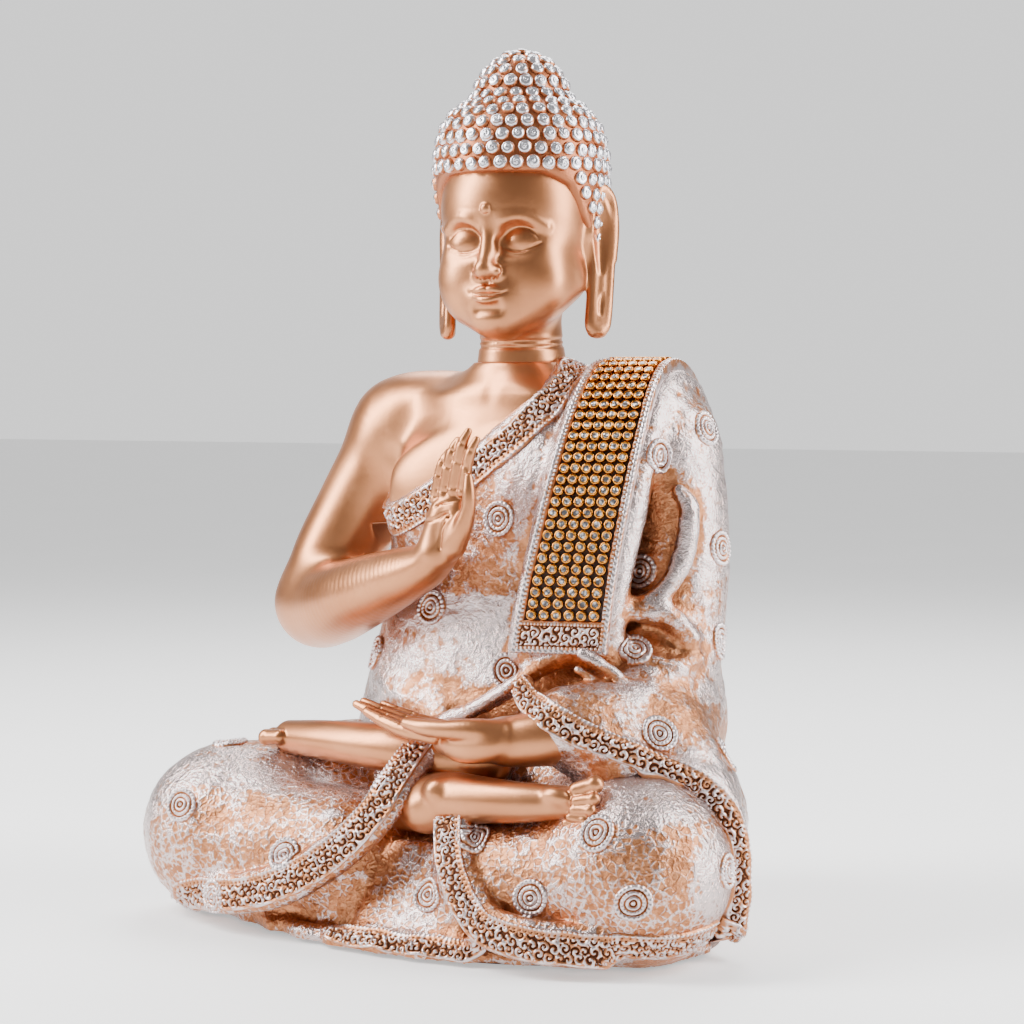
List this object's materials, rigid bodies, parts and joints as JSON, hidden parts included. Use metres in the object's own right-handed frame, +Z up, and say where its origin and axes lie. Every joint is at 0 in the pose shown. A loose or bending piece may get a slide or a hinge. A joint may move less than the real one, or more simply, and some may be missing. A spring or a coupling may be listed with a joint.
{
  "type": "buddha statue",
  "caption": "Seated lotus-pose statue with a raised hand, curled hair, a patterned robe and a shoulder sash set with stone chains, on a felt base.",
  "frame": {"origin": "on the felt's resting face, under the middle of the neck", "axes": "+Z up, the figure faces -Y, +X is the figure's left"},
  "size_m": [0.2059, 0.1219, 0.2791],
  "materials": {
    "robe_finish": "cast resin, copper paint dry-brushed with silver, satin",
    "skin_finish": "cast resin, smooth copper metallic paint, satin gloss",
    "border_finish": "cast resin, copper paint with dark wash in the recesses and silver on the high points",
    "dark_bed": "dark brown adhesive, matt",
    "gold_cups": "pressed brass, gold plated",
    "clear_stones": "clear faceted glass, foiled back",
    "dowel_steel": "plain drawn steel",
    "fibre_board": "pressed fibre board, raw",
    "stopper_rubber": "black rubber, matt",
    "felt": "brown wool-look felt"
  },
  "bodies": {
    "root": {"body_casting": "robe_finish", "head_casting": "skin_finish", "right_arm_casting": "skin_finish", "lap_hand_casting": "skin_finish", "shoulder_sash": "border_finish", "neck_dowel": "dowel_steel", "arm_dowel": "dowel_steel", "hand_dowel": "dowel_steel", "stone_bed": "dark_bed", "cup_chain_1": "gold_cups", "cup_chain_2": "gold_cups", "cup_chain_3": "gold_cups", "cup_chain_4": "gold_cups", "cup_chain_5": "gold_cups", "cup_chain_6": "gold_cups", "rhinestones_1": "clear_stones", "rhinestones_2": "clear_stones", "rhinestones_3": "clear_stones", "rhinestones_4": "clear_stones", "rhinestones_5": "clear_stones", "rhinestones_6": "clear_stones", "base_board": "fibre_board", "base_plug": "stopper_rubber", "base_felt": "felt"}
  },
  "joints": []
}
